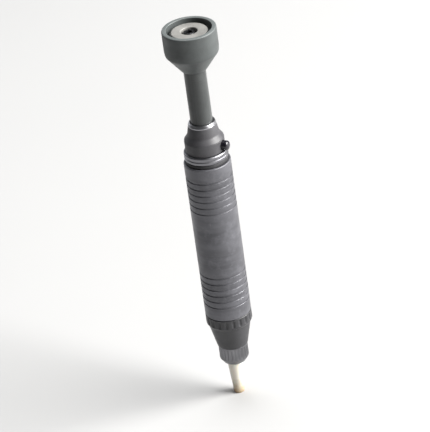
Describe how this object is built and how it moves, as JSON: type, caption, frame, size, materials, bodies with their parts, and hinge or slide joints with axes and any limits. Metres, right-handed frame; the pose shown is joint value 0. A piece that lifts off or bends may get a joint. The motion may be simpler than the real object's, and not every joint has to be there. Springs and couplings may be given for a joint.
{
  "type": "desoldering pump",
  "caption": "Compact spring-driven desoldering pump: grey barrel, dished thumb knob on a plunger stem, sloping shoulder, black side release button, tapered nose and nozzle.",
  "frame": {"origin": "on the pump's axis, at the middle of the barrel's plain grip zone", "axes": "+Z along the pump's axis towards the thumb knob, +X towards the release button"},
  "size_m": [0.0178, 0.0178, 0.139],
  "materials": {
    "barrel": "dark grey anodised, satin",
    "nose": "moulded, matte",
    "seal": "matte",
    "nozzle": "heat-proof polymer, waxy",
    "nozzle_collar": "turned",
    "trim_ring": "turned and polished",
    "head": "satin",
    "stem_collar": "polished",
    "inner_metal": "turned",
    "spring_steel": "drawn wire",
    "button": "glossy",
    "stem": "moulded, satin from wear",
    "piston": "machined",
    "brass": "machined",
    "knob": "moulded, matte",
    "knob_inlay": "matte",
    "screw": "black oxide"
  },
  "bodies": {
    "pump": {"barrel": "barrel", "nose_cone": "nose", "nose_o_ring": "seal", "nozzle": "nozzle", "nozzle_collar": "nozzle_collar", "barrel_gasket": "seal", "trim_ring": "trim_ring", "release_housing": "head", "shoulder_cap": "head", "stem_collar": "stem_collar", "spring_seat": "inner_metal", "bumper": "seal", "main_spring": "spring_steel", "latch_spring": "spring_steel"},
    "plunger": {"plunger_stem": "stem", "piston_rod": "inner_metal", "piston_clip": "spring_steel", "piston": "piston", "piston_o_ring": "seal", "piston_washer": "inner_metal", "piston_nut": "brass", "cleaning_pin": "inner_metal", "knob": "knob", "knob_inlay": "knob_inlay", "knob_washer": "inner_metal", "knob_screw": "screw"},
    "release": {"button": "button", "latch_plate": "inner_metal"}
  },
  "joints": [
    {"name": "plunger_slide", "type": "slide", "parent": "pump", "child": "plunger", "axis": [0, 0, 1], "range_m": [-0.0145, 0], "stiffness_N_per_m": 400, "springref_m": 0.02, "deforming": ["main_spring"]},
    {"name": "button_press", "type": "slide", "parent": "pump", "child": "release", "axis": [-1, 0, 0], "range_m": [0, 0.0008], "stiffness_N_per_m": 1200, "springref_m": -0.0008, "deforming": ["latch_spring"]}
  ]
}
